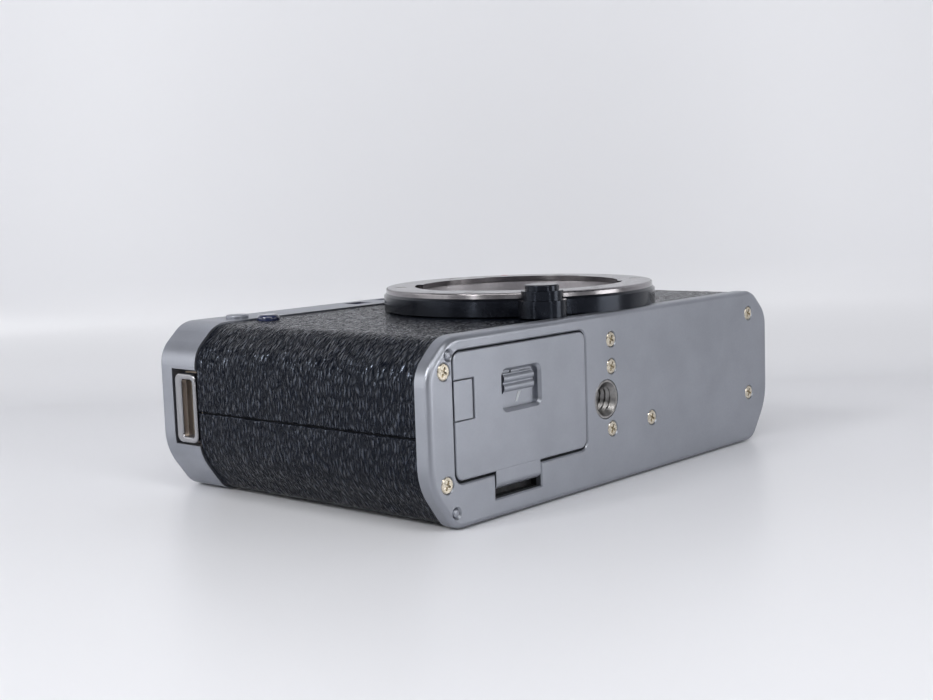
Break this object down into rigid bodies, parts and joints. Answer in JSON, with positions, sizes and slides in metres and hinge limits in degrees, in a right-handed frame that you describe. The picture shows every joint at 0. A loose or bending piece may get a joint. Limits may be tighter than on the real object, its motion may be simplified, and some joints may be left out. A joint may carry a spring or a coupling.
{
  "type": "film camera body",
  "caption": "Film camera body without lens: hinged back and battery door, bayonet mount with release, film transport, blade shutter and rewind, in a silver and black skin.",
  "frame": {"origin": "centre of the footprint, on the surface the camera's back lies on", "axes": "+X along the width from the grip end to the rewind end, +Y the camera's own up direction from base to top, +Z the way the lens mount looks"},
  "size_m": [0.1186, 0.083, 0.0415],
  "materials": {
    "silver_paint": "satin metallic paint",
    "leatherette": "pebbled, satin",
    "die_cast": "cast, blackened",
    "brass_screw": "bright nickelled brass",
    "chrome": "polished",
    "black_paint": "semi-gloss black",
    "black_metal": "black anodised",
    "inner_black": "matt black",
    "steel": "turned",
    "spring_steel": "rolled",
    "glass": "coated",
    "frosted": "frosted",
    "lamp": "dark blue tinted",
    "circuit": "solder mask",
    "index_red": "gloss",
    "cell": "nickel plated"
  },
  "bodies": {
    "camera_body": {"chassis": "die_cast", "base_cover": "silver_paint", "base_screws": "brass_screw", "base_locating_pins": "silver_paint", "tripod_socket": "steel", "coin_cells": "cell", "battery_contacts": "spring_steel", "battery_door_pin": "steel", "back_hinge_pin": "steel", "front_leatherette": "leatherette", "self_timer_lamp": "lamp", "top_cover": "silver_paint", "viewfinder_window": "glass", "frame_light_window": "frosted", "rangefinder_window": "glass", "eyepiece_frame": "black_metal", "eyepiece_glass": "glass", "viewfinder_block": "glass", "circuit_board": "circuit", "accessory_shoe": "black_metal", "shoe_contact": "spring_steel", "strap_loop_grip_end": "chrome", "strap_loop_far_end": "chrome", "counter_window": "glass", "release_collar": "silver_paint", "shutter_frame": "black_metal", "mount_ring": "black_paint", "bayonet_flange": "chrome", "flange_screws": "steel", "throat_liner": "black_metal", "lens_index_dot": "index_red"},
    "battery_door": {"battery_door": "silver_paint"},
    "battery_latch": {"battery_latch": "silver_paint"},
    "cable_flap": {"cable_flap": "silver_paint"},
    "back_door": {"back_door": "die_cast", "back_leatherette": "leatherette", "cassette_window": "glass", "pressure_spring": "spring_steel"},
    "pressure_plate": {"pressure_plate": "spring_steel"},
    "back_catch": {"back_catch": "silver_paint"},
    "lens_release_button": {"lens_release_button": "black_paint"},
    "lens_lock_pin": {"lens_lock_pin": "chrome"},
    "shutter_release": {"shutter_release": "chrome"},
    "exposure_lock_button": {"exposure_lock_button": "silver_paint"},
    "advance_lever": {"advance_lever": "silver_paint", "lever_tip": "inner_black"},
    "take_up_spool": {"take_up_spool": "inner_black"},
    "sprocket": {"sprocket": "inner_black"},
    "counter_dial": {"counter_dial": "inner_black"},
    "speed_dial": {"speed_dial": "silver_paint"},
    "rewind_sleeve": {"rewind_sleeve": "chrome"},
    "rewind_knob": {"rewind_knob": "silver_paint", "crank_pin": "steel"},
    "rewind_crank": {"rewind_crank": "chrome"},
    "front_curtain_lower_blade": {"front_curtain_lower_blade": "black_metal"},
    "front_curtain_middle_blade": {"front_curtain_middle_blade": "black_metal"},
    "front_curtain_upper_blade": {"front_curtain_upper_blade": "black_metal"},
    "rear_curtain_lower_blade": {"rear_curtain_lower_blade": "black_metal"},
    "rear_curtain_middle_blade": {"rear_curtain_middle_blade": "black_metal"},
    "rear_curtain_upper_blade": {"rear_curtain_upper_blade": "black_metal"}
  },
  "joints": [
    {"name": "battery_door_hinge", "type": "hinge", "parent": "camera_body", "child": "battery_door", "pos_m": [-0.0333, -0.04015, 0.0066], "axis": [1, 0, 0], "range_deg": [0, 95]},
    {"name": "battery_latch_slide", "type": "slide", "parent": "battery_door", "child": "battery_latch", "axis": [0, 0, -1], "range_m": [0, 0.0026], "stiffness_N_per_m": 40},
    {"name": "cable_flap_hinge", "type": "hinge", "parent": "battery_door", "child": "cable_flap", "pos_m": [-0.0477, -0.0409, 0.02335], "axis": [0, 0, 1], "range_deg": [0, 85]},
    {"name": "back_door_hinge", "type": "hinge", "parent": "camera_body", "child": "back_door", "pos_m": [0.0577, 0, 0.0172], "axis": [0, -1, 0], "range_deg": [0, 100]},
    {"name": "pressure_plate_slide", "type": "slide", "parent": "back_door", "child": "pressure_plate", "axis": [0, 0, -1], "range_m": [0, 0.0008], "stiffness_N_per_m": 600, "deforming": ["pressure_spring"]},
    {"name": "back_catch_slide", "type": "slide", "parent": "back_door", "child": "back_catch", "axis": [1, 0, 0], "range_m": [0, 0.002], "stiffness_N_per_m": 100},
    {"name": "lens_release_press", "type": "slide", "parent": "camera_body", "child": "lens_release_button", "axis": [0, 0, -1], "range_m": [0, 0.0015], "stiffness_N_per_m": 600},
    {"name": "lens_lock_pin_slide", "type": "slide", "parent": "camera_body", "child": "lens_lock_pin", "axis": [0, 0, -1], "range_m": [0, 0.0015]},
    {"name": "shutter_release_press", "type": "slide", "parent": "camera_body", "child": "shutter_release", "axis": [0, -1, 0], "range_m": [0, 0.0014], "stiffness_N_per_m": 500},
    {"name": "exposure_lock_press", "type": "slide", "parent": "camera_body", "child": "exposure_lock_button", "axis": [0, 0, -1], "range_m": [0, 0.0006], "stiffness_N_per_m": 500},
    {"name": "advance_lever_hinge", "type": "hinge", "parent": "camera_body", "child": "advance_lever", "pos_m": [-0.0403, 0, 0.0182], "axis": [0, 1, 0], "range_deg": [0, 130], "stiffness_Nm_per_rad": 0.01},
    {"name": "take_up_spool_spin", "type": "hinge", "parent": "camera_body", "child": "take_up_spool", "pos_m": [-0.0403, 0, 0.0182], "axis": [0, 1, 0], "range_deg": [0, 290]},
    {"name": "sprocket_spin", "type": "hinge", "parent": "camera_body", "child": "sprocket", "pos_m": [-0.0219, 0, 0.01535], "axis": [0, 1, 0], "range_deg": [0, 362]},
    {"name": "counter_dial_spin", "type": "hinge", "parent": "camera_body", "child": "counter_dial", "pos_m": [-0.0497, 0, 0.02], "axis": [0, 1, 0], "range_deg": [0, 10]},
    {"name": "speed_dial_turn", "type": "hinge", "parent": "camera_body", "child": "speed_dial", "pos_m": [-0.0213, 0, 0.022], "axis": [0, 1, 0], "range_deg": [-150, 150]},
    {"name": "rewind_knob_lift", "type": "slide", "parent": "camera_body", "child": "rewind_sleeve", "axis": [0, 1, 0], "range_m": [0, 0.0042]},
    {"name": "rewind_knob_spin", "type": "hinge", "parent": "rewind_sleeve", "child": "rewind_knob", "pos_m": [0.0429, 0, 0.018], "axis": [0, 1, 0], "continuous": true},
    {"name": "rewind_crank_fold", "type": "hinge", "parent": "rewind_knob", "child": "rewind_crank", "pos_m": [0.0383, 0.039, 0.018], "axis": [0, 0, 1], "range_deg": [0, 172]},
    {"name": "front_curtain_upper_travel", "type": "slide", "parent": "camera_body", "child": "front_curtain_upper_blade", "axis": [0, -1, 0], "range_m": [0, 0.0258]},
    {"name": "front_curtain_middle_travel", "type": "slide", "parent": "camera_body", "child": "front_curtain_middle_blade", "axis": [0, -1, 0], "range_m": [0, 0.0178]},
    {"name": "front_curtain_lower_travel", "type": "slide", "parent": "camera_body", "child": "front_curtain_lower_blade", "axis": [0, -1, 0], "range_m": [0, 0.0098]},
    {"name": "rear_curtain_lower_travel", "type": "slide", "parent": "camera_body", "child": "rear_curtain_lower_blade", "axis": [0, -1, 0], "range_m": [0, 0.0255]},
    {"name": "rear_curtain_middle_travel", "type": "slide", "parent": "camera_body", "child": "rear_curtain_middle_blade", "axis": [0, -1, 0], "range_m": [0, 0.0175]},
    {"name": "rear_curtain_upper_travel", "type": "slide", "parent": "camera_body", "child": "rear_curtain_upper_blade", "axis": [0, -1, 0], "range_m": [0, 0.0095]}
  ],
  "couplings": [
    {"joint": "lens_lock_pin_slide", "follows": "lens_release_press", "ratio": 1},
    {"joint": "take_up_spool_spin", "follows": "advance_lever_hinge", "ratio": 2.2},
    {"joint": "sprocket_spin", "follows": "advance_lever_hinge", "ratio": 2.7692},
    {"joint": "counter_dial_spin", "follows": "advance_lever_hinge", "ratio": 0.0692},
    {"joint": "front_curtain_middle_travel", "follows": "front_curtain_upper_travel", "ratio": 0.68991},
    {"joint": "front_curtain_lower_travel", "follows": "front_curtain_upper_travel", "ratio": 0.37983},
    {"joint": "rear_curtain_middle_travel", "follows": "rear_curtain_lower_travel", "ratio": 0.68626},
    {"joint": "rear_curtain_upper_travel", "follows": "rear_curtain_lower_travel", "ratio": 0.37254}
  ]
}
